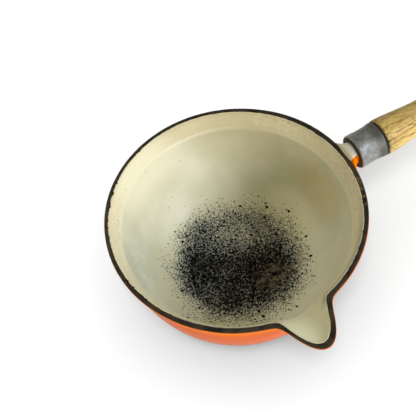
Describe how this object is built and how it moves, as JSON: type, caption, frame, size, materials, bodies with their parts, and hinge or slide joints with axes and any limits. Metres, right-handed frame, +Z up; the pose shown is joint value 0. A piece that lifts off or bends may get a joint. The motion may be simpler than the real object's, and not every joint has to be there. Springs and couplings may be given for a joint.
{
  "type": "saucepan",
  "caption": "Enamelled cast-iron saucepan with a side pouring lip, a metal ferrule and a turned wooden handle that ends in a swinging hanging ring.",
  "frame": {"origin": "centre of the flat underside of the base, on the surface that the pan stands on", "axes": "+X from the pan's centre towards the handle's end, the pouring lip towards -Y, +Z up"},
  "size_m": [0.3695, 0.2151, 0.1142],
  "materials": {
    "bare_iron": "bare, ground and darkened by use, with specks of rust",
    "cream_enamel": "glossy fired enamel, burnt and speckled on the floor",
    "orange_enamel": "glossy fired enamel, orange at the rim turning redder below",
    "ferrule_metal": "satin, worn and smudged",
    "black_fibre": "matt black pressed fibre",
    "golden_wood": "worn varnish over golden hardwood with dark grain",
    "plated_steel": "dull plated steel wire and rod"
  },
  "bodies": {
    "pan": {"pan_casting": "bare_iron", "interior_enamel": "cream_enamel", "exterior_enamel": "orange_enamel", "ferrule": "ferrule_metal", "handle_gasket": "black_fibre", "wood_handle": "golden_wood", "end_washer": "plated_steel", "tie_rod": "plated_steel"},
    "ring": {"hanging_ring": "plated_steel"}
  },
  "joints": [
    {"name": "ring_swing", "type": "hinge", "parent": "pan", "child": "ring", "pos_m": [0.2658, 0, 0.09946], "axis": [0, 1, 0], "range_deg": [-232, 54]}
  ]
}
